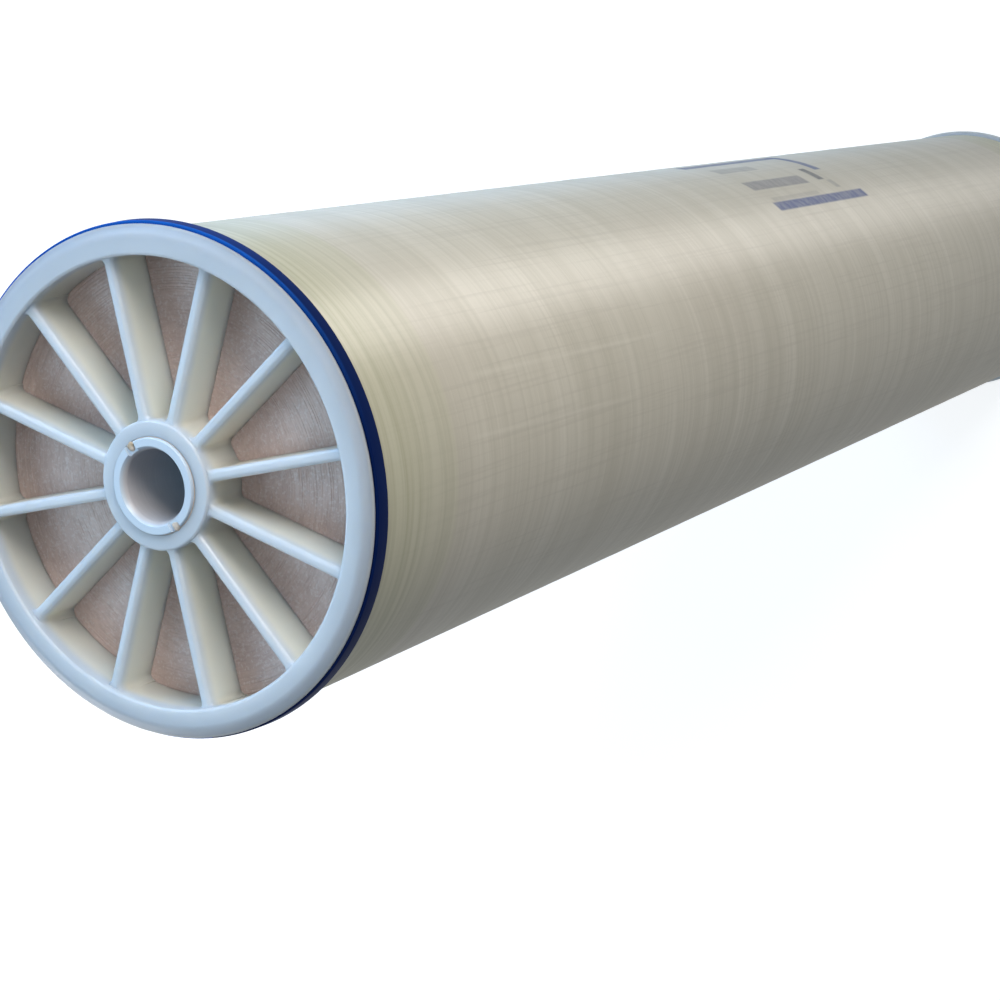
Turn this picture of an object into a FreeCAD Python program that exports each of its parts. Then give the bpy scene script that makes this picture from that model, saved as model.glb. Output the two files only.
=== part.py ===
import FreeCAD, Part
import math
import os
import Sketcher

# An 8-inch spiral-wound nanofiltration element, standing on its outlet end.
# The origin is the centre of the outlet rim's face, +Z runs up the product water
# tube to the feed end, and a spoke of each end cap points along +X.
# A depth is measured into the element from the face of the nearer end.

SIZES = [
    # the element as a whole
    ("element_length", 1016.0, "length over both end faces"),
    ("shell_radius", 97.7, "outer radius of the glass-fibre shell"),
    # the end caps: rim
    ("cap_height", 23.1, "depth of the roll's face, and so of the cap's windows"),
    ("rim_step_height", 2.63, "how far a rim stands out past the shell"),
    ("rim_front_width", 11.83, "width of the rim at its face, with its bevel"),
    ("rim_back_width", 10.73, "width of the rim at the roll, to its largest radius"),
    ("rim_bevel_width", 4.2, "how far the bevelled outer edge reaches inwards"),
    ("rim_edge_width", 1.0, "bevel of the rim's inner edge"),
    ("flange_thickness", 2.4, "thickness of the rim where it stands out past the skirt"),
    # the end caps: spokes and hub
    ("spoke_count", 12, "spokes in an end cap"),
    ("spoke_thickness", 4.6, "thickness of a spoke"),
    ("spoke_face_depth", 2.8, "depth of the spokes' front edges"),
    ("spoke_edge_width", 1.2, "bevel of a spoke's front edges"),
    ("spoke_root_length", 2.0, "how far a spoke runs into the hub and the rim"),
    ("hub_radius", 25.6, "outer radius of the hub"),
    ("hub_face_depth", 1.4, "depth of the hub's face"),
    ("hub_edge_width", 0.6, "bevel of the hub's outer edge"),
    # the product water tube
    ("tube_radius", 19.05, "outer radius of the product water tube"),
    ("tube_bore_radius", 14.3, "radius of the machined bore at each end"),
    ("tube_bore_length", 60.0, "length of the machined bore at each end"),
    ("tube_core_radius", 13.9, "radius of the tube's bore between them"),
    ("tube_lead_width", 1.5, "radial size of the lead-in chamfer"),
    ("tube_lead_length", 2.4, "axial size of the lead-in chamfer"),
    ("tube_edge_width", 0.5, "chamfer of the tube's outer edges"),
    ("notch_width", 5.0, "width of the notches across a tube end"),
    ("notch_depth", 1.2, "depth of the notches across a tube end"),
    ("notch_angle", 21.8, "direction of the notches from a spoke"),
    ("hole_radius", 1.6, "radius of a product water hole"),
    ("first_hole_depth", 110.0, "depth of the first holes"),
    ("hole_levels", 3, "levels of holes, each drilled across the tube"),
    # the adhesive between hub and tube
    ("bond_thickness", 0.3, "thickness of the adhesive between hub and tube"),
    ("bead_depth", 1.0, "depth at which the adhesive's bead ends"),
    ("drop_width", 3.0, "width of the adhesive drop in a notch"),
    ("drop_length", 2.2, "how far the drop runs across the tube's wall"),
    ("drop_height", 0.6, "height of the drop above the notch's floor"),
    # the wound roll and what is wrapped round it
    ("shell_thickness", 3.3, "thickness of the glass-fibre shell"),
    ("tape_thickness", 0.3, "thickness of the tape round the roll"),
    ("leaf_lines", 1, "spiral leaf edges grooved into a roll's face"),
    ("leaf_half_turns", 4, "half turns that a leaf edge makes from tube to tape"),
    ("leaf_line_width", 0.9, "width of a leaf edge's groove"),
    ("leaf_line_depth", 0.8, "depth of a leaf edge's groove"),
    ("leaf_margin_width", 2.5, "from the ends of a leaf edge to the tube and the tape"),
    # the label under the clear coat
    ("label_depth", 466.0, "from the feed end's face to the label"),
    ("label_height", 162.0, "size of the label along the element"),
    ("label_span", 44.0, "angle that the label takes round the shell"),
    ("label_direction", -34.0, "direction of the label's middle"),
    ("label_thickness", 0.2, "thickness of the label"),
    ("label_gap_width", 0.1, "between the label's edges and its recess"),
    # the brine seal
    ("seal_step_height", 1.6, "how far the seal's lip stands out past the rim"),
    ("seal_width", 6.6, "width of the seal along the element"),
    ("seal_gap_width", 0.3, "between the seal and the rim, and between it and the wrap"),
    ("seal_floor_gap_width", 0.1, "between the seal and the cap's skirt"),
    ("seal_lip_thickness", 2.1, "thickness of the outer lip at its tip"),
    ("seal_foot_thickness", 2.2, "thickness of the inner lip at its tip"),
    ("seal_slot_depth", 3.6, "depth of the slot between the lips"),
]


class Size:
    """A number and the sheet formula that gives it, so that arithmetic binds both."""

    def __init__(self, value, formula):
        self.value = value
        self.formula = formula

    def joined(self, sign, other, value):
        return Size(value, "(%s %s %s)" % (self.formula, sign, other.formula))

    def __add__(self, other):
        other = as_size(other)
        return self.joined("+", other, self.value + other.value)

    def __sub__(self, other):
        other = as_size(other)
        return self.joined("-", other, self.value - other.value)

    def __mul__(self, other):
        other = as_size(other)
        return self.joined("*", other, self.value * other.value)

    def __truediv__(self, other):
        other = as_size(other)
        return self.joined("/", other, self.value / other.value)

    def __neg__(self):
        return Size(-self.value, "(-%s)" % self.formula)


FULL_TURN = 360.0
QUARTER_TURN = 90.0
DEGREES = Size(180.0 / math.pi, "(180 / pi)")


def as_size(number):
    return number if isinstance(number, Size) else Size(number, "%g" % number)


class SizeSheet:
    """The spreadsheet of driving dimensions, read as attributes."""

    def __init__(self, document):
        sheet = document.addObject("Spreadsheet::Sheet", "Sizes")
        for row, (name, value, note) in enumerate(SIZES, start=1):
            sheet.set("A%d" % row, note)
            sheet.set("B%d" % row, str(value))
            sheet.setAlias("B%d" % row, name)
        document.recompute()
        for name, value, note in SIZES:
            setattr(self, name, Size(float(sheet.get(name)), "Sizes.%s" % name))


def bind(feature, field, size):
    """Set a feature's field to a size and keep it bound to the sheet."""
    setattr(feature, field, size.value)
    feature.setExpression(field, size.formula)


def bind_count(pattern, count):
    pattern.Occurrences = int(count.value)
    pattern.setExpression("Occurrences", count.formula)


# Sketches

def origin_part(body, role):
    for feature in body.Origin.OriginFeatures:
        if feature.Role == role:
            return feature


def pin_point(sketch, geometry, end, place):
    """Fix a point of the sketch at a place given by two sizes."""
    for kind, size, axis in (("DistanceX", place[0], -2), ("DistanceY", place[1], -1)):
        if size.value == 0.0:
            sketch.addConstraint(Sketcher.Constraint("PointOnObject", geometry, end, axis))
            continue
        if size.value > 0.0:
            constraint = Sketcher.Constraint(kind, -1, 1, geometry, end, size.value)
        else:
            constraint = Sketcher.Constraint(kind, geometry, end, -1, 1, -size.value)
            size = -size
        index = sketch.addConstraint(constraint)
        sketch.setExpression("Constraints[%d]" % index, size.formula)


def draw_loop(sketch, corners):
    """Draw a closed outline through corners given as (across, up)."""
    places = [(as_size(corner[0]), as_size(corner[1])) for corner in corners]
    points = [FreeCAD.Vector(place[0].value, place[1].value, 0) for place in places]
    lines = []
    for here, point in enumerate(points):
        line = Part.LineSegment(point, points[(here + 1) % len(points)])
        lines.append(sketch.addGeometry(line))
    for here, line in enumerate(lines):
        sketch.addConstraint(Sketcher.Constraint("Coincident", lines[here - 1], 2, line, 1))
        pin_point(sketch, line, 1, places[here])


def add_sketch(body, name, plane, loops, offset=None, turn=None, turn_axis=None):
    """Sketch on one of the body's origin planes, moved along or turned about it."""
    sketch = body.newObject("Sketcher::SketchObject", name)
    sketch.AttachmentSupport = (origin_part(body, plane), [""])
    sketch.MapMode = "FlatFace"
    if turn is not None:
        rotation = FreeCAD.Rotation(turn_axis, turn.value)
        sketch.AttachmentOffset = FreeCAD.Placement(FreeCAD.Vector(), rotation)
        sketch.setExpression("AttachmentOffset.Rotation.Angle", turn.formula)
    if offset is not None:
        sketch.setExpression("AttachmentOffset.Base.z", offset.formula)
    for corners in loops:
        draw_loop(sketch, corners)
    return sketch


def box_loop(left, low, right, high):
    return [(left, low), (right, low), (right, high), (left, high)]


# Features

def revolve(body, name, corners, kind="PartDesign::Revolution", span=None, turn=None):
    """Turn an outline of (radius, height) corners about the element's axis."""
    upright = FreeCAD.Vector(0, 1, 0)
    sketch = add_sketch(body, name + "Profile", "XZ_Plane", [corners], turn=turn, turn_axis=upright)
    feature = body.newObject(kind, name)
    feature.Profile = sketch
    feature.ReferenceAxis = (sketch, ["V_Axis"])
    feature.Angle = FULL_TURN
    if span is not None:
        feature.Midplane = True
        bind(feature, "Angle", span)
    return feature


def pad(body, name, sketch, length, backwards=False):
    feature = body.newObject("PartDesign::Pad", name)
    feature.Profile = sketch
    feature.Reversed = backwards
    bind(feature, "Length", length)
    return feature


def cut_through(body, name, sketch):
    """Cut an outline through the whole body, to both sides of its sketch."""
    feature = body.newObject("PartDesign::Pocket", name)
    feature.Profile = sketch
    feature.Type = "ThroughAll"
    feature.Midplane = True
    return feature


def repeat_round(body, name, feature, count):
    pattern = body.newObject("PartDesign::PolarPattern", name)
    pattern.Originals = [feature]
    pattern.Axis = (origin_part(body, "Z_Axis"), [""])
    pattern.Angle = FULL_TURN
    bind_count(pattern, count)
    body.Tip = pattern
    return pattern


def repeat_up(body, name, feature, length, count):
    pattern = body.newObject("PartDesign::LinearPattern", name)
    pattern.Originals = [feature]
    pattern.Direction = (origin_part(body, "Z_Axis"), [""])
    bind(pattern, "Length", length)
    bind_count(pattern, count)
    body.Tip = pattern
    return pattern


def new_body(document, name):
    body = document.addObject("PartDesign::Body", name)
    body.Label = name
    return body


def depth_scale(size, end):
    """Return the function that turns a depth below one end's face into a height."""
    if end == "feed":
        return lambda depth: size.element_length - depth
    return lambda depth: as_size(depth)


# Places that several pieces share

def rim_radius(size):
    return size.shell_radius + size.rim_step_height


def rim_bore(size):
    """The radius of the rim's inner wall at the roll."""
    return rim_radius(size) - size.rim_back_width


def wrap_start(size):
    """The depth at which the wrap starts: the seal lies between the rim and it."""
    return size.flange_thickness + size.seal_width + size.seal_gap_width * 2


def shell_bore(size):
    """The wrap's inner radius, and so that of the caps' skirts and of the tape."""
    return size.shell_radius - size.shell_thickness


def roll_radius(size):
    return shell_bore(size) - size.tape_thickness


def hub_bore(size):
    return size.tube_radius + size.bond_thickness


# Sub-parts

def add_hub(body, size, height):
    bore = hub_bore(size)
    edge = size.hub_edge_width
    revolve(body, "Hub", [
        (bore, height(size.hub_face_depth)),
        (size.hub_radius - edge, height(size.hub_face_depth)),
        (size.hub_radius, height(size.hub_face_depth + edge)),
        (size.hub_radius, height(size.cap_height)),
        (bore, height(size.cap_height)),
    ])


def add_spoke(body, size, height):
    """One rib with bevelled front edges, from inside the hub to inside the rim."""
    half = size.spoke_thickness / 2
    edge = size.spoke_edge_width
    start = size.hub_radius - size.spoke_root_length
    reach = rim_bore(size) + size.spoke_root_length
    section = add_sketch(body, "SpokeSection", "YZ_Plane", [[
        (-half, height(size.cap_height)),
        (-half, height(size.spoke_face_depth + edge)),
        (edge - half, height(size.spoke_face_depth)),
        (half - edge, height(size.spoke_face_depth)),
        (half, height(size.spoke_face_depth + edge)),
        (half, height(size.cap_height)),
    ]], offset=start)
    return pad(body, "Spoke", section, reach - start)


def add_rim(body, size, height):
    outside = rim_radius(size)
    front = outside - size.rim_front_width
    edge = size.rim_edge_width
    skirt = shell_bore(size)
    revolve(body, "Rim", [
        (front, height(edge)),
        (front + edge, height(0)),
        (outside - size.rim_bevel_width, height(0)),
        (outside, height(size.flange_thickness)),
        (skirt, height(size.flange_thickness)),
        (skirt, height(size.cap_height)),
        (rim_bore(size), height(size.cap_height)),
    ])


def make_end_cap(document, size, end):
    body = new_body(document, end + "_end_cap")
    height = depth_scale(size, end)
    add_hub(body, size, height)
    spoke = add_spoke(body, size, height)
    repeat_round(body, "Spokes", spoke, size.spoke_count)
    add_rim(body, size, height)
    return body


def make_tube(document, size):
    """The tube with machined ends, notched end faces and holes across it."""
    body = new_body(document, "product_water_tube")
    top = size.element_length
    edge = size.tube_edge_width
    lead = size.tube_bore_radius + size.tube_lead_width
    revolve(body, "Wall", [
        (lead, 0),
        (size.tube_radius - edge, 0),
        (size.tube_radius, edge),
        (size.tube_radius, top - edge),
        (size.tube_radius - edge, top),
        (lead, top),
        (size.tube_bore_radius, top - size.tube_lead_length),
        (size.tube_bore_radius, top - size.tube_bore_length),
        (size.tube_core_radius, top - size.tube_bore_length),
        (size.tube_core_radius, size.tube_bore_length),
        (size.tube_bore_radius, size.tube_bore_length),
        (size.tube_bore_radius, size.tube_lead_length),
    ])
    half = size.notch_width / 2
    past = size.notch_depth
    notches = add_sketch(body, "NotchSection", "XZ_Plane", [
        box_loop(-half, -past, half, size.notch_depth),
        box_loop(-half, top - size.notch_depth, half, top + past),
    ], turn=size.notch_angle + QUARTER_TURN, turn_axis=FreeCAD.Vector(0, 1, 0))
    cut_through(body, "Notches", notches)

    sketch = add_sketch(body, "HoleSketch", "XZ_Plane", [])
    centre = FreeCAD.Vector(0, size.first_hole_depth.value, 0)
    circle = Part.Circle(centre, FreeCAD.Vector(0, 0, 1), size.hole_radius.value)
    drawn = sketch.addGeometry(circle)
    pin_point(sketch, drawn, 3, (as_size(0.0), size.first_hole_depth))
    index = sketch.addConstraint(Sketcher.Constraint("Radius", drawn, size.hole_radius.value))
    sketch.setExpression("Constraints[%d]" % index, size.hole_radius.formula)
    hole = cut_through(body, "HolePair", sketch)
    spread = top - size.first_hole_depth * 2
    repeat_up(body, "Holes", hole, spread, size.hole_levels)
    return body


def add_bond(document, size, end):
    """The bonded sleeve between one hub and the tube, with a drop in each notch."""
    body = document.addObject("PartDesign::Body", end + "Bond")
    height = depth_scale(size, end)
    bore = hub_bore(size)
    revolve(body, "Sleeve", [
        (size.tube_radius, height(size.bead_depth)),
        (bore, height(size.bead_depth)),
        (bore, height(size.cap_height)),
        (size.tube_radius, height(size.cap_height)),
    ])
    half = size.drop_width / 2
    outer = size.tube_radius + size.bond_thickness / 2
    inner = size.tube_radius - size.drop_length
    drops = add_sketch(body, "DropPlan", "XY_Plane", [
        box_loop(inner, -half, outer, half),
        box_loop(-outer, -half, -inner, half),
    ], offset=height(size.notch_depth), turn=size.notch_angle, turn_axis=FreeCAD.Vector(0, 0, 1))
    pad(body, "Drops", drops, size.drop_height, backwards=(end == "outlet"))
    return body


def make_cap_adhesive(document, size):
    """The two equal bonds, which share one node."""
    pair = document.addObject("Part::Compound", "cap_adhesive")
    pair.Links = [add_bond(document, size, "feed"), add_bond(document, size, "outlet")]
    pair.Label = "cap_adhesive"
    return pair


def ring_between(document, name, outer, inner, low, length):
    """A plain ring from two cylinders, all bound to the sheet."""
    solids = []
    for part, radius in (("Outside", outer), ("Inside", inner)):
        solid = document.addObject("Part::Cylinder", name + part)
        bind(solid, "Radius", radius)
        bind(solid, "Height", length)
        solid.setExpression("Placement.Base.z", low.formula)
        solids.append(solid)
    ring = document.addObject("Part::Cut", name)
    ring.Base, ring.Tool = solids
    ring.Label = name
    return ring


def half_turns(inner, outer, count, shift):
    """Semicircles that grow from one to the next and join smoothly, as a spiral does."""
    growth = (outer - inner) / count
    edges = []
    for number in range(count):
        side = 1 if number % 2 == 0 else -1
        middle = -side * growth / 2
        radius = inner + growth * (number + 0.5) + shift
        start = FreeCAD.Vector(middle + side * radius, 0, 0)
        crest = FreeCAD.Vector(middle, side * radius, 0)
        end = FreeCAD.Vector(middle - side * radius, 0, 0)
        edges.append(Part.Arc(start, crest, end).toShape())
    return edges


def leaf_line_cutter(size):
    """The spiral strip that a leaf edge takes from a roll's face."""
    inner = size.tube_radius.value + size.leaf_margin_width.value
    outer = roll_radius(size).value - size.leaf_margin_width.value
    count = int(size.leaf_half_turns.value)
    half = size.leaf_line_width.value / 2
    near = half_turns(inner, outer, count, -half)
    far = half_turns(inner, outer, count, half)
    first = Part.makeLine(near[0].firstVertex(True).Point, far[0].firstVertex(True).Point)
    last = Part.makeLine(near[-1].lastVertex(True).Point, far[-1].lastVertex(True).Point)
    outline = Part.Wire(Part.__sortEdges__(near + [last] + far + [first]))
    return Part.Face(outline).extrude(FreeCAD.Vector(0, 0, size.leaf_line_depth.value * 2))


def make_roll(document, size):
    """The wound leaves as one solid, with the leaf edges' grooves in both faces."""
    length = size.element_length - size.cap_height * 2
    blank = ring_between(
        document, "RollBlank", roll_radius(size), size.tube_radius, size.cap_height, length)
    cutters = []
    for face in (size.cap_height, size.element_length - size.cap_height):
        for number in range(int(size.leaf_lines.value)):
            cutter = leaf_line_cutter(size)
            cutter.translate(FreeCAD.Vector(0, 0, face.value - size.leaf_line_depth.value))
            turn = FULL_TURN * number / size.leaf_lines.value
            cutter.rotate(FreeCAD.Vector(), FreeCAD.Vector(0, 0, 1), turn)
            cutters.append(cutter)
    lines = document.addObject("Part::Feature", "LeafLines")
    lines.Shape = Part.makeCompound(cutters)
    roll = document.addObject("Part::Cut", "membrane_roll")
    roll.Base = blank
    roll.Tool = lines
    roll.Label = "membrane_roll"
    return roll


def make_tape(document, size):
    length = size.element_length - size.cap_height * 2
    return ring_between(
        document, "roll_tape", shell_bore(size), roll_radius(size), size.cap_height, length)


def make_shell(document, size):
    """The wrap over the roll and both caps' skirts, with a recess for the label."""
    body = new_body(document, "outer_shell")
    feed = depth_scale(size, "feed")
    outlet = depth_scale(size, "outlet")
    start = wrap_start(size)
    revolve(body, "Wrap", box_loop(
        shell_bore(size), outlet(start), size.shell_radius, feed(start)))
    floor = size.shell_radius - size.label_thickness
    outside = size.shell_radius + size.label_thickness
    gap_angle = size.label_gap_width * 2 / size.shell_radius * DEGREES
    revolve(body, "LabelRecess", box_loop(
        floor, feed(size.label_depth + size.label_height + size.label_gap_width),
        outside, feed(size.label_depth - size.label_gap_width),
    ), kind="PartDesign::Groove", span=size.label_span + gap_angle, turn=size.label_direction)
    return body


def make_label(document, size):
    body = new_body(document, "product_label")
    feed = depth_scale(size, "feed")
    revolve(body, "Sheet", box_loop(
        size.shell_radius - size.label_thickness, feed(size.label_depth + size.label_height),
        size.shell_radius, feed(size.label_depth),
    ), span=size.label_span, turn=size.label_direction)
    return body


def make_brine_seal(document, size):
    """A cup seal: its slot faces the feed, and its outer lip stands out past the rim."""
    body = new_body(document, "brine_seal")
    height = depth_scale(size, "feed")
    front = size.flange_thickness + size.seal_gap_width
    back = front + size.seal_width
    inside = shell_bore(size) + size.seal_floor_gap_width
    outside = rim_radius(size) + size.seal_step_height
    foot = inside + size.seal_foot_thickness
    lip = outside - size.seal_lip_thickness
    middle = (foot + lip) / 2
    slot = front + size.seal_slot_depth
    revolve(body, "Cup", [
        (inside, height(front)),
        (foot, height(front)),
        (middle, height(slot)),
        (lip, height(front)),
        (outside, height(front)),
        (outside, height(back)),
        (inside, height(back)),
    ])
    return body


def check_document(document, parts):
    for item in document.Objects:
        if "Invalid" in item.State or "Error" in item.State:
            raise RuntimeError("%s failed to compute: %s" % (item.Name, item.State))
    for part in parts:
        if part.Shape.isNull() or not part.Shape.isValid():
            raise RuntimeError("%s has no valid shape" % part.Label)


def build():
    document = FreeCAD.newDocument("MembraneElement")
    size = SizeSheet(document)
    parts = [
        make_tube(document, size),
        make_roll(document, size),
        make_tape(document, size),
        make_end_cap(document, size, "feed"),
        make_end_cap(document, size, "outlet"),
        make_cap_adhesive(document, size),
        make_shell(document, size),
        make_label(document, size),
        make_brine_seal(document, size),
    ]
    document.recompute()
    check_document(document, parts)
    os.makedirs("parts", exist_ok=True)
    for part in parts:
        part.Shape.exportStep("parts/%s.step" % part.Label)
        print("%-20s %12.1f mm3 %2d solid" % (part.Label, part.Shape.Volume, len(part.Shape.Solids)))


build()
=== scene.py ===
"""Looks of a spiral-wound nanofiltration element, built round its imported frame.

The element stands on its outlet end. A depth is measured in millimetres into the
element from the face of the nearer end, and an azimuth in degrees from +X.
"""
import math
import random

import bmesh
import bpy
from mathutils import Matrix, Vector, noise


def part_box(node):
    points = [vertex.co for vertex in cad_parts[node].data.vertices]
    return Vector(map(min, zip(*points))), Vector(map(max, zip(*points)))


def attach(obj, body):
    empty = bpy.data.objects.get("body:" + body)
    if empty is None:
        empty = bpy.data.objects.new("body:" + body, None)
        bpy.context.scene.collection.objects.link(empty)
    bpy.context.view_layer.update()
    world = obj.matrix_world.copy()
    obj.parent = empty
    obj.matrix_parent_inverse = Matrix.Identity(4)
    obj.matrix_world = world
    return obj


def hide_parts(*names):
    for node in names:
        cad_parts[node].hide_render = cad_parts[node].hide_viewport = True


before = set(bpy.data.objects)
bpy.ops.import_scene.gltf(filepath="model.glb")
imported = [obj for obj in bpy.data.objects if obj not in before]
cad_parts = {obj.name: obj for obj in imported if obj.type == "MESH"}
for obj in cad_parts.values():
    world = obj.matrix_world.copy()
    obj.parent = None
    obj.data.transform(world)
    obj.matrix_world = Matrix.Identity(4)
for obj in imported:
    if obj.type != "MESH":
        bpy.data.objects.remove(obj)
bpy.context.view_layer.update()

MM = 0.001
BODY = "root"
SEED = 41

# Sizes read from the frame, in millimetres

def far_radius(node):
    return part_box(node)[1].x / MM


def low_end(node):
    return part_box(node)[0].z / MM


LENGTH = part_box("product_water_tube")[1].z / MM
RIM_RADIUS = far_radius("feed_end_cap")
ROLL_DEPTH = low_end("membrane_roll")
ROLL_RADIUS = far_radius("membrane_roll")
SHELL_RADIUS = far_radius("outer_shell")
SKIRT_RADIUS = far_radius("roll_tape")
SHELL_DEPTH = low_end("outer_shell")
TUBE_RADIUS = far_radius("product_water_tube")
SEAL_RADIUS = far_radius("brine_seal")
SEAL_BACK = LENGTH - low_end("brine_seal")
SEAL_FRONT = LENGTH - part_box("brine_seal")[1].z / MM
LABEL_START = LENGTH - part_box("product_label")[1].z / MM
LABEL_END = LENGTH - low_end("product_label")

# Sizes that the frame doesn't give, as in the part's own sheet
RIM_FRONT_WIDTH = 11.83
RIM_BACK_WIDTH = 10.73
RIM_BEVEL_WIDTH = 4.2
RIM_BEVEL_DEPTH = 2.0
FLANGE = 2.4
SPOKE_COUNT = 12
SPOKE_THICKNESS = 4.6
SPOKE_DEPTH = 2.8
HUB_RADIUS = 25.6
HUB_DEPTH = 1.4
HUB_BORE = 19.35
BORE_RADIUS = 14.3
CORE_RADIUS = 13.9
BORE_LENGTH = 60.0
LEAD_WIDTH = 1.5
LEAD_LENGTH = 2.4
NOTCH_WIDTH = 5.0
NOTCH_DEPTH = 1.2
NOTCH_ANGLE = 21.8
LABEL_LEFT = -56
LABEL_RIGHT = -12
LABEL_SINK = 0.2

ROUND_STEPS = 256


# Outlines

def rounded(corners, steps=6):
    """Round the corners of a closed outline. A corner is (x, y) or (x, y, radius)."""
    points = []
    count = len(corners)
    for here, corner in enumerate(corners):
        place = Vector(corner[:2])
        if len(corner) < 3:
            points.append(place)
            continue
        before = Vector(corners[here - 1][:2])
        after = Vector(corners[(here + 1) % count][:2])
        radius = corner[2]
        incoming = (place - before).normalized()
        outgoing = (after - place).normalized()
        turn = incoming.angle_signed(outgoing)
        reach = radius * math.tan(abs(turn) / 2)
        side = -1 if turn > 0 else 1
        middle = place - incoming * reach + Vector((-incoming.y, incoming.x)) * radius * side
        arm = place - incoming * reach - middle
        for step in range(steps + 1):
            points.append(middle + Matrix.Rotation(-turn * step / steps, 2) @ arm)
    return points


def ring_mesh(bm, outline, height, steps=ROUND_STEPS):
    """Turn a closed (radius, depth) outline, in millimetres, about the element's axis."""
    rings = []
    for step in range(steps):
        angle = 2 * math.pi * step / steps
        cos, sin = math.cos(angle), math.sin(angle)
        ring = []
        for radius, depth in outline:
            place = Vector((radius * cos, radius * sin, height(depth))) * MM
            ring.append(bm.verts.new(place))
        rings.append(ring)
    size = len(outline)
    for step in range(steps):
        this, following = rings[step], rings[(step + 1) % steps]
        for here in range(size):
            there = (here + 1) % size
            bm.faces.new((this[here], following[here], following[there], this[there]))


def height_from(end):
    """The function that turns a depth below one end's face into a height."""
    if end == "feed":
        return lambda depth: LENGTH - depth
    return lambda depth: depth


# Meshes

def new_piece(name, bm, material, smooth_angle=35.0):
    """Make an object from the mesh, smooth apart from its sharp edges."""
    bmesh.ops.recalc_face_normals(bm, faces=bm.faces)
    mesh = bpy.data.meshes.new(name)
    bm.to_mesh(mesh)
    bm.free()
    piece = bpy.data.objects.new(name, mesh)
    bpy.context.scene.collection.objects.link(piece)
    mesh.materials.append(material)
    mesh.shade_smooth()
    mesh.set_sharp_from_angle(angle=math.radians(smooth_angle))
    return piece


def weigh_normals(piece):
    """Let large flat faces keep flat shading beside their rounded edges."""
    weighted = piece.modifiers.new("weighted", "WEIGHTED_NORMAL")
    weighted.keep_sharp = True
    return piece


def bake_modifiers(piece):
    """Put the result of the piece's modifiers into its mesh."""
    graph = bpy.context.evaluated_depsgraph_get()
    mesh = bpy.data.meshes.new_from_object(piece.evaluated_get(graph))
    piece.modifiers.clear()
    piece.data = mesh
    return piece


def combine(piece, tool, operation):
    """Join the tool to the piece, or cut it out of it, and drop the tool."""
    change = piece.modifiers.new("combine", "BOOLEAN")
    change.operation = operation
    change.object = tool
    change.solver = "MANIFOLD"
    bake_modifiers(piece)
    bpy.data.objects.remove(tool)
    return piece


def shade_by_angle(piece, angle=35.0):
    mesh = piece.data
    mesh.shade_smooth()
    mesh.set_sharp_from_angle(angle=math.radians(angle))
    return piece


def helper_object(name, bm):
    bmesh.ops.recalc_face_normals(bm, faces=bm.faces)
    mesh = bpy.data.meshes.new(name)
    bm.to_mesh(mesh)
    bm.free()
    thing = bpy.data.objects.new(name, mesh)
    bpy.context.scene.collection.objects.link(thing)
    return thing


# End caps

def arc_points(centre, radius, start, end, steps=6):
    points = []
    for step in range(steps + 1):
        angle = start + (end - start) * step / steps
        points.append(centre + Vector((math.cos(angle), math.sin(angle))) * radius)
    return points


def spoke_plan():
    """Half of a spoke seen along the axis, with fillets that meet hub and rim."""
    half = SPOKE_THICKNESS / 2
    fillet = 2.6
    root = 2.0
    rim = RIM_RADIUS - (RIM_FRONT_WIDTH + RIM_BACK_WIDTH) / 2
    side = half + fillet
    hub_centre = Vector((math.sqrt((HUB_RADIUS + fillet) ** 2 - side ** 2), side))
    rim_centre = Vector((math.sqrt((rim - fillet) ** 2 - side ** 2), side))
    hub_angle = math.atan2(-hub_centre.y, -hub_centre.x)
    rim_angle = math.atan2(rim_centre.y, rim_centre.x)
    near = arc_points(hub_centre, fillet, hub_angle, -math.pi / 2)
    far = arc_points(rim_centre, fillet, -math.pi / 2, rim_angle)
    start = Vector((HUB_RADIUS - root, near[0].y))
    end = Vector((rim + root, far[-1].y))
    return [start] + near + far + [end]


def spoke_mesh(bm, height, angle):
    """One spoke with rounded front edges, as a closed solid."""
    upper = spoke_plan()
    plan = [Vector((p.x, -p.y)) for p in upper] + list(reversed(upper))
    edge = 1.7
    edge_steps = 5
    turn = Matrix.Rotation(math.radians(angle), 3, "Z")
    layers = [(0.0, ROLL_DEPTH)]
    for step in range(edge_steps + 1):
        swing = math.pi / 2 * step / edge_steps
        inset = edge * (1 - math.cos(swing))
        layers.append((inset, SPOKE_DEPTH + edge * (1 - math.sin(swing))))
    rings = []
    for inset, depth in layers:
        ring = []
        for point in plan:
            pulled = max(abs(point.y) - inset, 0.0) * (1 if point.y > 0 else -1)
            place = turn @ Vector((point.x, pulled, 0))
            ring.append(bm.verts.new(Vector((place.x, place.y, height(depth))) * MM))
        rings.append(ring)
    size = len(plan)
    for low, high in zip(rings, rings[1:]):
        for here in range(size):
            there = (here + 1) % size
            bm.faces.new((low[here], low[there], high[there], high[here]))
    bm.faces.new(rings[0])
    bm.faces.new(rings[-1])


def rim_outline():
    front = RIM_RADIUS - RIM_FRONT_WIDTH
    back = RIM_RADIUS - RIM_BACK_WIDTH
    return rounded([
        (front, 0.0, 1.3),
        (RIM_RADIUS - RIM_BEVEL_WIDTH, 0.0, 6.0),
        (RIM_RADIUS, RIM_BEVEL_DEPTH, 0.35),
        (RIM_RADIUS, FLANGE),
        (SKIRT_RADIUS, FLANGE),
        (SKIRT_RADIUS, ROLL_DEPTH),
        (back, ROLL_DEPTH),
    ])


def hub_outline():
    return rounded([
        (HUB_BORE, HUB_DEPTH, 0.35),
        (HUB_RADIUS, HUB_DEPTH, 1.0),
        (HUB_RADIUS, ROLL_DEPTH),
        (HUB_BORE, ROLL_DEPTH),
    ])


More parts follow.
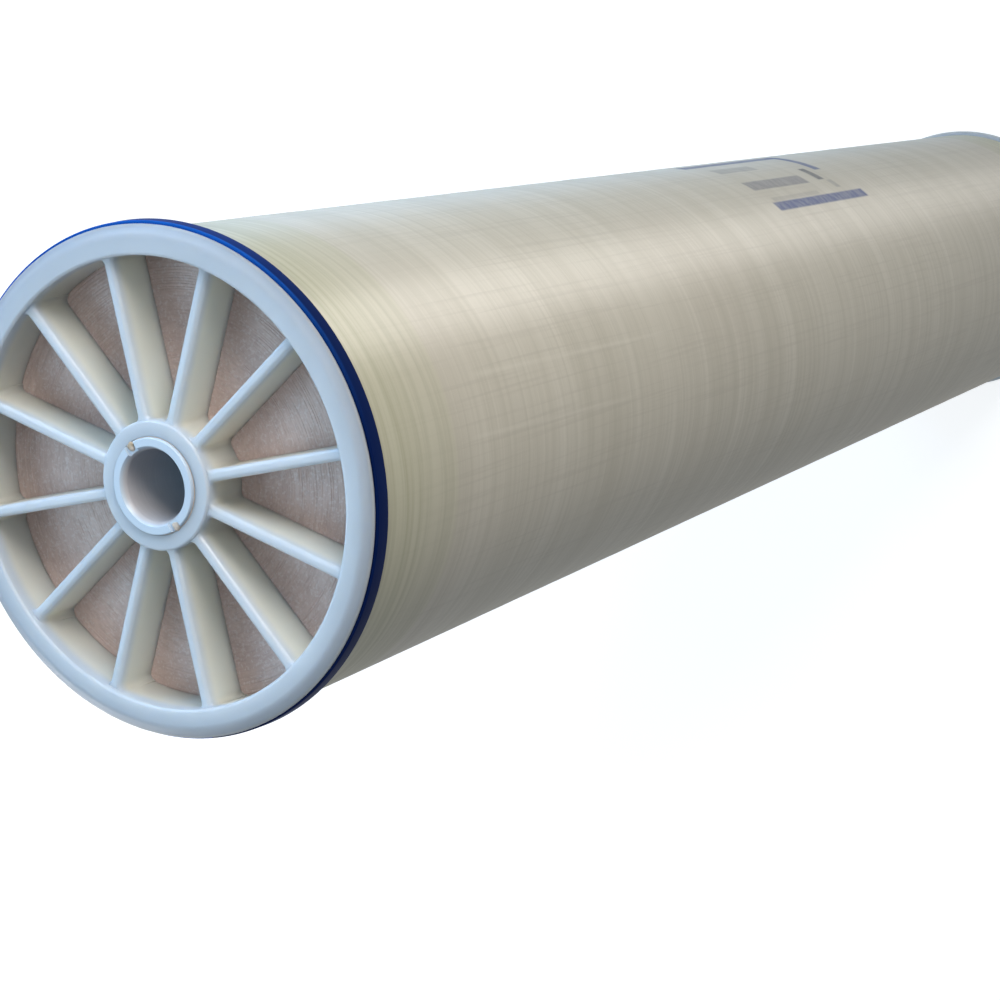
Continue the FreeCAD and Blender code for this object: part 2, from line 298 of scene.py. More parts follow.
def make_end_cap(end, material):
    height = height_from(end)
    rings = bmesh.new()
    ring_mesh(rings, rim_outline(), height)
    ring_mesh(rings, hub_outline(), height)
    cap = new_piece(end + "_cap_moulding", rings, material)
    spokes = bmesh.new()
    for number in range(SPOKE_COUNT):
        spoke_mesh(spokes, height, 360.0 * number / SPOKE_COUNT)
    combine(cap, helper_object("spokes", spokes), "UNION")
    shade_by_angle(cap)
    weigh_normals(cap)
    bake_modifiers(cap)
    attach(cap, BODY)
    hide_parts(end + "_end_cap")
    return cap


# Product water tube and its bond

def make_tube(material):
    edge = 0.5
    outline = rounded([
        (BORE_RADIUS + LEAD_WIDTH, 0.0, 0.25),
        (TUBE_RADIUS, 0.0, edge),
        (TUBE_RADIUS, LENGTH, edge),
        (BORE_RADIUS + LEAD_WIDTH, LENGTH, 0.25),
        (BORE_RADIUS, LENGTH - LEAD_LENGTH, 3.0),
        (BORE_RADIUS, LENGTH - BORE_LENGTH),
        (CORE_RADIUS, LENGTH - BORE_LENGTH),
        (CORE_RADIUS, BORE_LENGTH),
        (BORE_RADIUS, BORE_LENGTH),
        (BORE_RADIUS, LEAD_LENGTH, 3.0),
    ], steps=4)
    body = bmesh.new()
    ring_mesh(body, outline, lambda place: place, steps=128)
    tube = new_piece("permeate_tube", body, material)
    notches = bmesh.new()
    for face in (0.0, LENGTH):
        block = bmesh.ops.create_cube(notches, size=1.0)["verts"]
        size = Vector((TUBE_RADIUS * 3, NOTCH_WIDTH, NOTCH_DEPTH * 2)) * MM
        bmesh.ops.scale(notches, vec=size, verts=block)
        turn = Matrix.Rotation(math.radians(NOTCH_ANGLE), 3, "Z")
        bmesh.ops.rotate(notches, matrix=turn, verts=block)
        bmesh.ops.translate(notches, vec=(0, 0, face * MM), verts=block)
    combine(tube, helper_object("notches", notches), "DIFFERENCE")
    shade_by_angle(tube)
    weigh_normals(tube)
    bake_modifiers(tube)
    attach(tube, BODY)
    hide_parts("product_water_tube")
    return tube


def drop_mesh(bm, end, angle, rng):
    """A blob of set resin that fills part of a notch, lumpy and wetted at its foot."""
    rings, around = 7, 20
    length, width, rise = 2.1, 1.9, 0.8
    middle = TUBE_RADIUS - 1.1
    height = height_from(end)
    turn = Matrix.Rotation(math.radians(angle), 3, "Z")
    lumps = [rng.uniform(0.62, 1.2) for _ in range(around)]
    lumps = [(lumps[i - 1] + lumps[i] + lumps[(i + 1) % around]) / 3 for i in range(around)]

    def place(x, y, up):
        spot = turn @ Vector((middle + x, y, 0))
        return Vector((spot.x, spot.y, height(NOTCH_DEPTH - up))) * MM

    foot = bm.verts.new(place(0, 0, 0))
    top = bm.verts.new(place(0, 0, rise))
    levels = []
    for ring in range(rings):
        swing = math.pi / 2 * ring / rings
        level = []
        for step in range(around):
            spread = math.cos(swing) * lumps[step]
            way = 2 * math.pi * step / around
            x = length * math.cos(way) * spread
            y = width * math.sin(way) * spread
            level.append(bm.verts.new(place(x, y, rise * math.sin(swing))))
        levels.append(level)
    for low, high in zip(levels, levels[1:]):
        for here in range(around):
            there = (here + 1) % around
            bm.faces.new((low[here], low[there], high[there], high[here]))
    for here in range(around):
        there = (here + 1) % around
        bm.faces.new((foot, levels[0][there], levels[0][here]))
        bm.faces.new((top, levels[-1][here], levels[-1][there]))


def make_bond(material):
    """The resin between hubs and tube: a sleeve with a sunken bead, and four drops."""
    rng = random.Random(SEED)
    mesh = bmesh.new()
    for end in ("feed", "outlet"):
        outline = rounded([
            (TUBE_RADIUS, 1.3, 0.1),
            (HUB_BORE, 1.7, 0.1),
            (HUB_BORE, ROLL_DEPTH),
            (TUBE_RADIUS, ROLL_DEPTH),
        ], steps=2)
        ring_mesh(mesh, outline, height_from(end), steps=128)
        for angle in (NOTCH_ANGLE, NOTCH_ANGLE + 180):
            drop_mesh(mesh, end, angle, rng)
    bond = new_piece("hub_bond_resin", mesh, material, smooth_angle=50)
    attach(bond, BODY)
    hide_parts("cap_adhesive")
    return bond


# Brine seal

def make_seal(material):
    """The cup seal, whose soft lip leans a little to one side."""
    inside = SKIRT_RADIUS + 0.1
    outside = SEAL_RADIUS - 0.03
    lean = 0.9
    lean_azimuth = math.radians(-45)
    mesh = bmesh.new()
    outline = rounded([
        (inside, SEAL_FRONT, 0.4),
        (inside + 2.2, SEAL_FRONT, 0.4),
        (inside + 3.0, SEAL_FRONT + 3.6, 0.35),
        (outside - 2.4, SEAL_FRONT + 0.1, 0.5),
        (outside - 0.4, SEAL_FRONT, 0.5),
        (outside, SEAL_BACK, 0.7),
        (inside, SEAL_BACK, 0.5),
    ], steps=5)
    ring_mesh(mesh, outline, height_from("feed"))
    for vertex in mesh.verts:
        radius = vertex.co.xy.length / MM
        share = (radius - inside) / (outside - inside)
        azimuth = math.atan2(vertex.co.y, vertex.co.x)
        turned_away = (1 - math.cos(azimuth - lean_azimuth)) / 2
        vertex.co.xy *= 1 - lean * share * turned_away ** 2 / radius
    seal = new_piece("seal_ring", mesh, material)
    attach(seal, BODY)
    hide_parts("brine_seal")
    return seal


# Shell and label

def shell_surface(azimuth, depth):
    """The wound surface's radius: it dips a little between the bands of fibre."""
    wave_height = 0.16
    wave_length = 14.0
    angle = math.radians(azimuth)
    place = Vector((math.cos(angle) * 1.5, math.sin(angle) * 1.5, depth / wave_length))
    return SHELL_RADIUS - wave_height * (0.5 + 0.5 * noise.noise(place))


def steps_between(low, high, step):
    """Evenly spaced values from low to high, about a step apart."""
    count = max(1, round((high - low) / step))
    return [low + (high - low) * number / count for number in range(count + 1)]


def shell_point(azimuth, depth, radius):
    angle = math.radians(azimuth)
    return Vector((radius * math.cos(angle), radius * math.sin(angle), LENGTH - depth)) * MM


def join_columns(bm, columns, closed):
    """Fill the faces between neighbouring closed columns of vertices."""
    size = len(columns[0])
    pairs = list(zip(columns, columns[1:]))
    if closed:
        pairs.append((columns[-1], columns[0]))
    else:
        bm.faces.new(columns[0])
        bm.faces.new(columns[-1])
    for this, following in pairs:
        for here in range(size):
            there = (here + 1) % size
            bm.faces.new((this[here], following[here], following[there], this[there]))


def make_shell(material):
    """The wrap, with a shallow recess for the label."""
    row_step = 5.5
    edge = 0.02
    end_edge = ((0.0, 0.4), (0.12, 0.15), (0.45, 0.0))
    far = LENGTH - SHELL_DEPTH
    rows = [(SHELL_DEPTH + place, drop) for place, drop in end_edge]
    for low, high in ((rows[-1][0] + 1, LABEL_START - edge), (LABEL_START, LABEL_END),
                      (LABEL_END + edge, far - end_edge[-1][0] - 1)):
        rows += [(depth, 0.0) for depth in steps_between(low, high, row_step)]
    rows += [(far - place, drop) for place, drop in reversed(end_edge)]
    azimuths = [float(number) for number in range(-180, 180)]
    azimuths += [LABEL_LEFT - edge, LABEL_RIGHT + edge]
    columns = []
    bm = bmesh.new()
    for azimuth in sorted(azimuths):
        column = []
        for depth, drop in rows:
            radius = shell_surface(azimuth, depth) - drop
            beside = LABEL_LEFT <= azimuth <= LABEL_RIGHT
            if beside and LABEL_START <= depth <= LABEL_END:
                radius -= LABEL_SINK
            column.append(bm.verts.new(shell_point(azimuth, depth, radius)))
        for depth in (far, SHELL_DEPTH):
            column.append(bm.verts.new(shell_point(azimuth, depth, SKIRT_RADIUS)))
        columns.append(column)
    join_columns(bm, columns, closed=True)
    shell = new_piece("wound_shell", bm, material)
    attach(shell, BODY)
    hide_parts("outer_shell")
    return shell


def make_label(material):
    """The label, flush with the wound surface around it."""
    row_step = 5.5
    thickness = LABEL_SINK * 0.8
    depths = steps_between(LABEL_START, LABEL_END, row_step)
    bm = bmesh.new()
    columns = []
    for azimuth in range(LABEL_LEFT, LABEL_RIGHT + 1):
        top = [(depth, shell_surface(azimuth, depth)) for depth in depths]
        under = [(depth, radius - thickness) for depth, radius in reversed(top)]
        columns.append([
            bm.verts.new(shell_point(azimuth, depth, radius)) for depth, radius in top + under])
    join_columns(bm, columns, closed=False)
    label = new_piece("label_sheet", bm, material)
    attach(label, BODY)
    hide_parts("product_label")
    return label


# Wound roll

def make_roll(material):
    """The roll: on both faces the wound layers' edges stand out as low ridges."""
    rng = random.Random(SEED)
    thinnest, thickest = 0.9, 1.5
    deepest = 0.3
    wobble = 0.25
    around = 180
    layers = []
    radius = TUBE_RADIUS
    while radius < ROLL_RADIUS - thickest - wobble:
        width = rng.uniform(thinnest, thickest)
        sunk = rng.uniform(0.0, deepest * 0.6)
        layers += [(radius, deepest), (radius + width * 0.3, sunk), (radius + width * 0.8, sunk)]
        radius += width
    bm = bmesh.new()
    columns = []
    for step in range(around):
        azimuth = 360.0 * step / around
        angle = math.radians(azimuth)
        column = []
        for end in ("feed", "outlet"):
            points = []
            for number, (radius, sunk) in enumerate(layers):
                spot = Vector((math.cos(angle) * 2, math.sin(angle) * 2, radius * 0.15))
                shift = wobble * noise.noise(spot) if number else 0.0
                lift = 0.5 + 0.5 * noise.noise(spot * 3)
                points.append((ROLL_DEPTH + sunk * lift, radius + shift))
            points.append((ROLL_DEPTH, ROLL_RADIUS))
            if end == "outlet":
                points = [(LENGTH - depth, radius) for depth, radius in reversed(points)]
            column += [bm.verts.new(shell_point(azimuth, depth, radius)) for depth, radius in points]
        columns.append(column)
    join_columns(bm, columns, closed=True)
    roll = new_piece("wound_leaves", bm, material, smooth_angle=25)
    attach(roll, BODY)
    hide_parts("membrane_roll")
    return roll


# Materials

class Nodes:
    """Short words for building a material's node tree."""

    def __init__(self, name):
        self.material = bpy.data.materials.new(name)
        self.material.use_nodes = True
        self.tree = self.material.node_tree
        self.shader = self.tree.nodes["Principled BSDF"]
        self.position = self.add("ShaderNodeTexCoord").outputs["Object"]

    def add(self, kind, **values):
        node = self.tree.nodes.new(kind)
        for name, value in values.items():
            setattr(node, name, value)
        return node

    def feed(self, socket, value):
        if isinstance(value, bpy.types.NodeSocket):
            self.tree.links.new(value, socket)
        else:
            socket.default_value = value

    def math(self, operation, first, second=0.0, third=0.0, clamp=False):
        node = self.add("ShaderNodeMath", operation=operation, use_clamp=clamp)
        for socket, value in zip(node.inputs, (first, second, third)):
            self.feed(socket, value)
        return node.outputs[0]

    def scaled(self, scale, turn=(0, 0, 0)):
        """The object's own coordinates, turned and scaled."""
        node = self.add("ShaderNodeMapping")
        self.feed(node.inputs["Vector"], self.position)
        node.inputs["Rotation"].default_value = [math.radians(a) for a in turn]
        node.inputs["Scale"].default_value = scale
        return node.outputs[0]

    def noise(self, scale, size=1.0, detail=3.0, rough=0.55, turn=(0, 0, 0)):
        node = self.add("ShaderNodeTexNoise")
        self.feed(node.inputs["Vector"], self.scaled(scale, turn))
        node.inputs["Scale"].default_value = size
        node.inputs["Detail"].default_value = detail
        node.inputs["Roughness"].default_value = rough
        return node.outputs["Fac"]

    def between(self, value, low, high, to_low=0.0, to_high=1.0):
        """Map a range of values onto another, held at its ends."""
        node = self.add("ShaderNodeMapRange", interpolation_type="SMOOTHSTEP")
        for name, number in (("From Min", low), ("From Max", high),
                             ("To Min", to_low), ("To Max", to_high)):
            self.feed(node.inputs[name], number)
        self.feed(node.inputs["Value"], value)
        return node.outputs["Result"]

    def mix(self, amount, first, second, blend="MIX"):
        node = self.add("ShaderNodeMix", data_type="RGBA", blend_type=blend)
        self.feed(node.inputs["Factor"], amount)
        self.feed(node.inputs["A"], first)
        self.feed(node.inputs["B"], second)
        return node.outputs["Result"]

    def bump(self, height, distance, strength=1.0):
        node = self.add("ShaderNodeBump")
        node.inputs["Strength"].default_value = strength
        node.inputs["Distance"].default_value = distance
        self.feed(node.inputs["Height"], height)
        self.feed(self.shader.inputs["Normal"], node.outputs["Normal"])

    def axes(self):
        node = self.add("ShaderNodeSeparateXYZ")
        self.feed(node.inputs[0], self.position)
        return node.outputs

    def depth(self):
        """Millimetres below the feed end's face."""
        return self.math("MULTIPLY_ADD", self.axes()[2], -1 / MM, LENGTH)

    def end_distance(self):
        """Millimetres from the nearer end's face."""
        return self.math("MINIMUM", self.depth(), self.math("MULTIPLY", self.axes()[2], 1 / MM))

    def azimuth(self):
        """Degrees from +X."""
        axes = self.axes()
        return self.math("MULTIPLY", self.math("ARCTAN2", axes[1], axes[0]), 180 / math.pi)

    def radius(self):
        """Millimetres from the element's axis."""
        x, y, _ = self.axes()
        squares = self.math("ADD", self.math("MULTIPLY", x, x), self.math("MULTIPLY", y, y))
        return self.math("MULTIPLY", self.math("SQRT", squares), 1 / MM)

    def polar_noise(self, rings, turns, detail):
        """Noise in rings per metre of radius and in cells per degree round the axis."""
        place = self.add("ShaderNodeCombineXYZ")
        self.feed(place.inputs[0], self.math("MULTIPLY", self.radius(), rings * MM))
        self.feed(place.inputs[1], self.math("MULTIPLY", self.azimuth(), turns))
        node = self.add("ShaderNodeTexNoise")
        self.feed(node.inputs["Vector"], place.outputs[0])
        node.inputs["Scale"].default_value = 1.0
        node.inputs["Detail"].default_value = detail
        return node.outputs["Fac"]

    def field(self, left, right, start, end):
        """1 inside a field given by azimuths and depths, with soft edges."""
        soft = 0.5
        azimuth, depth = self.azimuth(), self.depth()
        edges = [
            self.between(azimuth, left - soft, left + soft),
            self.between(azimuth, right - soft, right + soft, 1.0, 0.0),
            self.between(depth, start - soft * 4, start + soft * 4),
            self.between(depth, end - soft * 4, end + soft * 4, 1.0, 0.0),
        ]
        inside = edges[0]
        for edge in edges[1:]:
            inside = self.math("MULTIPLY", inside, edge)
        return inside

    def add_round_gloss(self):
        """Gloss that fibres wound round the axis stretch along it."""
        tangent = self.add("ShaderNodeTangent", direction_type="RADIAL", axis="Z")
        self.feed(self.shader.inputs["Tangent"], tangent.outputs[0])
        self.shader.inputs["Anisotropic"].default_value = 1.0
        self.shader.inputs["Anisotropic Rotation"].default_value = 0.25
        self.shader.inputs["Specular IOR Level"].default_value = 1.0
        self.shader.inputs["IOR"].default_value = 1.62

    def set(self, **values):
        for name, value in values.items():
            self.feed(self.shader.inputs[name.replace("_", " ").title()], value)


def colour(red, green, blue):
    """A colour given as it is seen, 0 to 255, for a node socket."""
    def linear(value):
        share = value / 255
        return share / 12.92 if share <= 0.04045 else ((share + 0.055) / 1.055) ** 2.4
    return (linear(red), linear(green), linear(blue), 1.0)


def cap_plastic():
    """Moulded plastic, ivory down its walls, with a milky bluish tint at its front edges that is partly
    painted cool light.
    """
    nodes = Nodes("ivory_plastic")
    cloud = nodes.noise((30, 30, 30), detail=3)
    wall = nodes.mix(cloud, colour(215, 213, 204), colour(207, 204, 193))
    # Partly painted light: the bluish front colour stands partly for the cool light on the front faces.
    # It gives way to ivory down the walls and on the rim's outer rounding.
    front = nodes.mix(cloud, colour(187, 194, 202), colour(180, 188, 198))
    deep = nodes.between(nodes.end_distance(), 3.0, 9.0)
    bevel = nodes.between(nodes.radius(), RIM_RADIUS - 1.3, RIM_RADIUS - 0.4, 0.0, 0.55)
    tone = nodes.mix(nodes.math("MAXIMUM", deep, bevel), front, wall)
    grain = nodes.noise((900, 900, 900), detail=2)
    nodes.bump(grain, 0.00005, 0.4)
    nodes.shader.inputs["Subsurface Weight"].default_value = 0.65
    nodes.shader.inputs["Subsurface Scale"].default_value = 0.02
    nodes.shader.inputs["Subsurface Radius"].default_value = (1.0, 0.9, 0.75)
    nodes.set(base_color=tone, roughness=nodes.between(cloud, 0.3, 0.7, 0.34, 0.46))
    return nodes.material


def fibre_tone(nodes):
    """The wound fibre's colour: bands, fine strands and a resin-rich zone at each end."""
    bands = nodes.noise((4, 4, 60), detail=3, turn=(1.5, 0, 0))
    strands = nodes.noise((7, 7, 380), detail=3, turn=(-1.0, 1.0, 0))
    fine = nodes.noise((9, 9, 1300), detail=2)
    threads = nodes.noise((520, 520, 9), detail=2)
    cloud = nodes.noise((9, 9, 5), detail=2)
    tone = nodes.mix(nodes.between(bands, 0.3, 0.7), colour(185, 178, 163), colour(174, 167, 151))
    tone = nodes.mix(nodes.between(strands, 0.35, 0.7, 0.0, 0.3), tone, colour(152, 146, 129))
    tone = nodes.mix(nodes.between(fine, 0.5, 0.75, 0.0, 0.25), tone, colour(204, 199, 186))
    tone = nodes.mix(nodes.between(threads, 0.5, 0.7, 0.0, 0.3), tone, colour(156, 148, 134))
    tone = nodes.mix(nodes.between(cloud, 0.45, 0.75, 0.0, 0.25), tone, colour(170, 160, 146))
    distance = nodes.end_distance()
    rich = nodes.math("MULTIPLY", nodes.between(distance, 64.0, 68.0, 1.0, 0.0),
                      nodes.between(distance, 20.0, 62.0, 0.75, 0.4))
    tone = nodes.mix(rich, tone, nodes.mix(
        nodes.between(strands, 0.35, 0.7), colour(170, 167, 140), colour(149, 146, 117)))
    for azimuth, slope, start, end in ((-79.3, -0.0125, 85.0, 290.0), (-93.0, -0.018, 75.0, 240.0)):
        tone = nodes.mix(seam_line(nodes, azimuth, slope, start, end), tone, colour(206, 200, 186))
    weave = nodes.math("ADD", nodes.math("MULTIPLY", fine, 0.6), nodes.math("MULTIPLY", threads, 0.6))
    nodes.bump(nodes.math("ADD", strands, weave), 0.0001, 0.25)
    nodes.add_round_gloss()
    nodes.set(roughness=nodes.between(strands, 0.3, 0.7, 0.52, 0.6))
    return tone


def seam_line(nodes, azimuth, slope, start, end):
    """A pale line that runs almost along the element, where a leaf's edge shows through."""
    width = 1.0
    middle = nodes.math("MULTIPLY_ADD", nodes.depth(), slope, azimuth)
    off = nodes.math("ABSOLUTE", nodes.math("SUBTRACT", nodes.azimuth(), middle))
    across = nodes.between(off, 0.0, width, 0.22, 0.0)
    along = nodes.math("MULTIPLY", nodes.between(nodes.depth(), start, start + 15),
                       nodes.between(nodes.depth(), end - 40, end, 1.0, 0.0))
    return nodes.math("MULTIPLY", across, along)


def shell_fibre():
    nodes = Nodes("wound_glass_fibre")
    nodes.set(base_color=fibre_tone(nodes))
    return nodes.material


def label_print():
    """The label under the wound fibre: fields of ink that the resin softens."""
    nodes = Nodes("label_under_fibre")
    tone = fibre_tone(nodes)
    blue = colour(0, 38, 92)
    dark = colour(30, 30, 36)
    grey = colour(70, 68, 76)
    fields = [
        (-52.4, -48.3, 482, 623, blue, 1.0),
        (-41.1, -35.6, 481, 565, grey, 0.75),
        (-47.8, -45.9, 487, 558, grey, 0.3),
        (-27.5, -22.5, 484, 538, grey, 0.4),
        (-17.4, -13.0, 472, 614, blue, 0.85),
        (-33.5, -13.0, 603, 613, blue, 0.9),
        (-40.2, -31.4, 583, 592, dark, 0.95),
        (-45.8, -41.0, 592, 599, grey, 0.45),
    ]
    mottle = nodes.between(nodes.noise((170, 170, 280), detail=3), 0.35, 0.65, 0.8, 1.0)
    covered = 0.0
    for left, right, start, end, ink, strength in fields:
        field = nodes.field(left, right, start, end)
        amount = nodes.math("MULTIPLY", field, nodes.math("MULTIPLY", mottle, strength))
        tone = nodes.mix(amount, tone, ink)
        covered = nodes.math("MAXIMUM", covered, amount)
    nodes.set(base_color=tone, roughness=nodes.between(covered, 0.0, 1.0, 0.56, 0.95))
    return nodes.material


def seal_rubber():
    """Blue rubber with painted light and shade: a darker copy of the blue on one side of the flank and
    a lighter copy on the other, and a pale painted glare along the front of its lip on the brighter
    side.
    """
    nodes = Nodes("blue_rubber")
    cloud = nodes.noise((60, 60, 200), detail=3)
    # Painted light and shade: a darker and a lighter copy of the blue, swapped by azimuth round the
    # flank.
    painted_shade_flank = nodes.mix(cloud, colour(3, 25, 72), colour(2, 20, 62))
    painted_light_flank = nodes.mix(cloud, colour(2, 40, 104), colour(2, 34, 92))
    flank = nodes.mix(nodes.between(nodes.azimuth(), -65.0, -25.0), painted_shade_flank, painted_light_flank)
    # Painted glare: the front of the lip is painted a pale blue on one side, standing for the sky's
    # reflection on glossy rubber.
    lip = nodes.mix(cloud, colour(20, 85, 172), colour(14, 73, 155))
    front = nodes.between(nodes.depth(), 3.1, 4.2, 1.0, 0.0)
    painted_glare_side = nodes.between(nodes.azimuth(), -92.0, -15.0)
    nodes.set(base_color=nodes.mix(nodes.math("MULTIPLY", front, painted_glare_side), flank, lip))
    nodes.shader.inputs["Roughness"].default_value = 0.55
    nodes.shader.inputs["Specular IOR Level"].default_value = 0.04
    nodes.bump(nodes.noise((500, 500, 500), detail=2), 0.00003, 0.3)
    return nodes.material


def tube_plastic():
    """White plastic with the fine rings of turning, greyer inside near the opening, partly as painted
    shade.
    """
    nodes = Nodes("white_turned_plastic")
    rings = nodes.noise((20, 20, 900), detail=2)
    white = nodes.mix(rings, colour(192, 205, 219), colour(184, 198, 213))
    # Partly painted shade: the bore's wall near the opening is painted a darker grey, standing in part
    # for the shade inside the bore. Deeper in it turns paler and bluer.
    opening_grey_with_shade = nodes.mix(rings, colour(184, 181, 184), colour(172, 170, 174))
    deep = nodes.mix(rings, colour(204, 220, 232), colour(192, 208, 222))
    inside = nodes.mix(nodes.between(nodes.end_distance(), 8.0, 50.0), opening_grey_with_shade, deep)
    wall = nodes.between(nodes.radius(), BORE_RADIUS + 0.2, BORE_RADIUS + LEAD_WIDTH)
    nodes.bump(rings, 0.00004, 0.4)
    nodes.set(base_color=nodes.mix(wall, inside, white), roughness=0.35)
    return nodes.material


def bond_resin():
    """Resin that set amber where it is thick and milky where it was wiped."""
    nodes = Nodes("amber_resin")
    cloud = nodes.noise((500, 500, 500), detail=3)
    azimuth = nodes.azimuth()
    by_notch = nodes.math("MULTIPLY", nodes.between(azimuth, NOTCH_ANGLE - 14, NOTCH_ANGLE - 7),
                          nodes.between(azimuth, NOTCH_ANGLE + 7, NOTCH_ANGLE + 14, 1.0, 0.0))
    thick = nodes.math("MULTIPLY", by_notch, nodes.between(nodes.radius(), 16.8, 18.0))
    amber = nodes.mix(cloud, colour(184, 164, 138), colour(150, 128, 104))
    milky = nodes.mix(cloud, colour(214, 198, 184), colour(190, 168, 148))
    nodes.bump(cloud, 0.0002, 0.5)
    nodes.set(base_color=nodes.mix(thick, milky, amber), roughness=0.3)
    return nodes.material


def roll_edges():
    """Cut edges of wound sheet and mesh: brown, finely speckled along the layers."""
    nodes = Nodes("wound_sheet_edges")
    layer = nodes.polar_noise(700.0, 0.3, detail=1)
    speckle = nodes.noise((900, 900, 900), detail=1)
    cloud = nodes.noise((35, 35, 35), detail=2)
    tone = nodes.mix(nodes.between(cloud, 0.35, 0.65), colour(203, 181, 174), colour(189, 166, 159))
    tone = nodes.mix(nodes.between(layer, 0.42, 0.65, 0.0, 0.22), tone, colour(154, 128, 119))
    tone = nodes.mix(nodes.between(speckle, 0.5, 0.7, 0.0, 0.4), tone, colour(216, 208, 207))
    nodes.bump(nodes.math("ADD", layer, speckle), 0.0002, 0.4)
    nodes.set(base_color=tone, roughness=0.36)
    return nodes.material


def tape_film():
    nodes = Nodes("clear_tape")
    cloud = nodes.noise((40, 40, 300), detail=3)
    tone = nodes.mix(cloud, colour(206, 202, 188), colour(188, 182, 166))
    nodes.set(base_color=tone, roughness=0.3)
    return nodes.material


# Floor, lamps and camera

def background_rays(tree):
    """1 for the rays that should see the plain white background, else 0."""
    path = tree.nodes.new("ShaderNodeLightPath")
    seen = path.outputs["Is Camera Ray"]
    for name in ("Is Glossy Ray", "Is Transmission Ray"):
        either = tree.nodes.new("ShaderNodeMath")
        either.operation = "MAXIMUM"
        tree.links.new(seen, either.inputs[0])
        tree.links.new(path.outputs[name], either.inputs[1])
        seen = either.outputs[0]
    return seen


def add_floor():
    """A plain pale floor that keeps the object's shadow and is white further out."""
    near_glow, far_glow = 0.72, 1.0
    near, far = 0.4, 2.6
    bpy.ops.mesh.primitive_plane_add(size=12.0, location=(0, 0, 0))
    floor = bpy.context.object
    floor.name = "studio_floor"
    material = bpy.data.materials.new("pale_floor")
    material.use_nodes = True
    tree = material.node_tree
    shader = tree.nodes["Principled BSDF"]
    shader.inputs["Base Color"].default_value = (0.45, 0.45, 0.45, 1)
    shader.inputs["Roughness"].default_value = 0.9
    shader.inputs["Specular IOR Level"].default_value = 0.1
    distance = tree.nodes.new("ShaderNodeVectorMath")
    distance.operation = "LENGTH"
    place = tree.nodes.new("ShaderNodeTexCoord").outputs["Object"]
    tree.links.new(place, distance.inputs[0])
    level = tree.nodes.new("ShaderNodeMapRange")
    for name, number in (("From Min", near), ("From Max", far),
                         ("To Min", near_glow), ("To Max", far_glow)):
        level.inputs[name].default_value = number
    tree.links.new(distance.outputs["Value"], level.inputs["Value"])
    strength = tree.nodes.new("ShaderNodeMath")
    strength.operation = "MULTIPLY"
    tree.links.new(background_rays(tree), strength.inputs[0])
    tree.links.new(level.outputs["Result"], strength.inputs[1])
    glow = tree.nodes.new("ShaderNodeEmission")
    tree.links.new(strength.outputs[0], glow.inputs["Strength"])
    both = tree.nodes.new("ShaderNodeAddShader")
    tree.links.new(shader.outputs[0], both.inputs[0])
    tree.links.new(glow.outputs[0], both.inputs[1])
    tree.links.new(both.outputs[0], tree.nodes["Material Output"].inputs["Surface"])
    floor.data.materials.append(material)


def add_area(name, place, aim, size, power, tint):
    lamp = bpy.data.lights.new(name, "AREA")
    lamp.shape = "DISK"
    lamp.size = size
    lamp.energy = power
    lamp.color = tint
    thing = bpy.data.objects.new(name, lamp)
    bpy.context.scene.collection.objects.link(thing)
    thing.location = place
    way = Vector(aim) - Vector(place)
    thing.rotation_mode = "QUATERNION"
    thing.rotation_quaternion = way.to_track_quat("-Z", "Y")
    return lamp


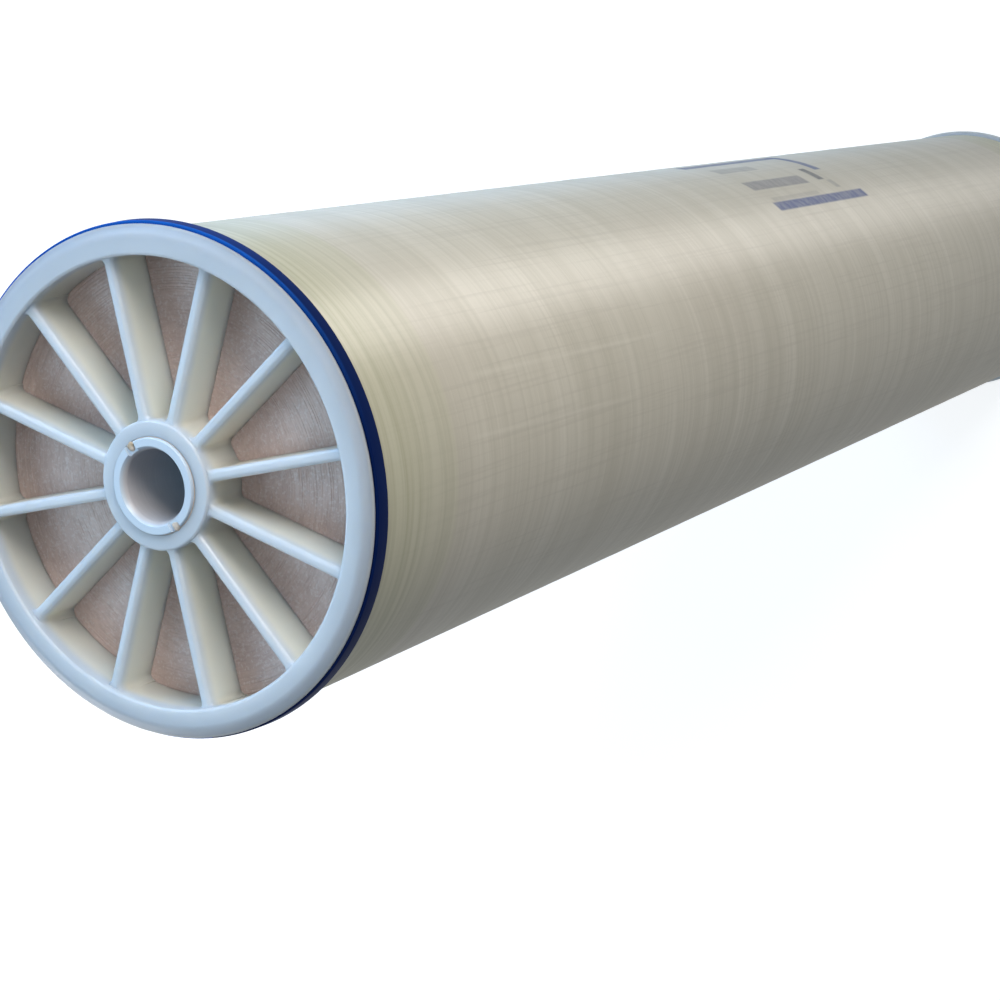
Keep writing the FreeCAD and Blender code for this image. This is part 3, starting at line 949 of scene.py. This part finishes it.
def add_world():
    """White where the camera sees it, and on the object a pale sky, brightest high on one side."""
    darkest, brightest = 0.08, 0.45
    sky_way = Vector((0.5, 0.6, 0.75)).normalized()
    world = bpy.data.worlds.new("studio")
    bpy.context.scene.world = world
    world.use_nodes = True
    tree = world.node_tree
    seen = background_rays(tree)
    way = tree.nodes.new("ShaderNodeTexCoord").outputs["Generated"]
    facing = tree.nodes.new("ShaderNodeVectorMath")
    facing.operation = "DOT_PRODUCT"
    facing.inputs[1].default_value = sky_way
    tree.links.new(way, facing.inputs[0])
    sky = tree.nodes.new("ShaderNodeMapRange")
    for name, number in (("From Min", -0.3), ("From Max", 0.9),
                         ("To Min", darkest), ("To Max", brightest)):
        sky.inputs[name].default_value = number
    tree.links.new(facing.outputs["Value"], sky.inputs["Value"])
    strength = tree.nodes.new("ShaderNodeMath")
    strength.operation = "MAXIMUM"
    tree.links.new(seen, strength.inputs[0])
    tree.links.new(sky.outputs["Result"], strength.inputs[1])
    tint = tree.nodes.new("ShaderNodeMix")
    tint.data_type = "RGBA"
    tint.inputs["A"].default_value = (0.7, 0.85, 1.0, 1)
    tint.inputs["B"].default_value = (1, 1, 1, 1)
    tree.links.new(seen, tint.inputs["Factor"])
    back = tree.nodes["Background"]
    tree.links.new(strength.outputs[0], back.inputs["Strength"])
    tree.links.new(tint.outputs["Result"], back.inputs["Color"])


def lamp_place(azimuth, distance, height):
    angle = math.radians(azimuth)
    return (distance * math.cos(angle), distance * math.sin(angle), height)


def add_lamps():
    key = add_area("warm_key", lamp_place(-47, 1.25, 1.42), (0, 0, 0.9), 0.55, 16.0, (1.0, 0.955, 0.89))
    key.shape = "RECTANGLE"
    key.size_y = 0.7
    add_area("cool_side", lamp_place(20, 1.1, 1.4), (0, 0, 0.85), 0.75, 10, (0.39, 0.67, 1.0))
    add_area("cool_front", lamp_place(97, 1.25, 2.6), (0, 0, 1.0), 1.2, 12, (0.52, 0.79, 1.0))
    add_area("soft_fill", lamp_place(-75, 1.67, 3.0), (0, 0, 1.0), 2.0, 9, (0.9, 0.93, 0.9))
    add_area("soft_back", lamp_place(125, 2.0, 0.9), (0, 0, 0.6), 1.2, 13, (0.96, 0.98, 1.0))


def add_camera():
    """The photograph's viewpoint: near the feed end, looking down the element."""
    place = Vector((43.95, -529.22, 1637.44)) * MM
    aim = Vector((-24.66, -151.91, LENGTH)) * MM
    roll = 110.458
    lens = 75.633
    camera = bpy.data.cameras.new("camera")
    camera.sensor_width = 36.0
    camera.lens = lens
    camera.clip_start = 0.02
    camera.clip_end = 50.0
    thing = bpy.data.objects.new("camera", camera)
    bpy.context.scene.collection.objects.link(thing)
    thing.location = place
    thing.rotation_mode = "QUATERNION"
    level = (aim - place).to_track_quat("-Z", "Y")
    thing.rotation_quaternion = level @ Matrix.Rotation(-math.radians(roll), 3, "Z").to_quaternion()
    bpy.context.scene.camera = thing


# Everything together

def dress_element():
    cap = cap_plastic()
    make_end_cap("feed", cap)
    make_end_cap("outlet", cap)
    make_tube(tube_plastic())
    make_bond(bond_resin())
    make_seal(seal_rubber())
    make_shell(shell_fibre())
    make_label(label_print())
    make_roll(roll_edges())
    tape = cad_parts["roll_tape"].data
    tape.materials.clear()
    tape.materials.append(tape_film())


bpy.context.scene.view_settings.view_transform = "Standard"
add_camera()
dress_element()
add_floor()
add_world()
add_lamps()
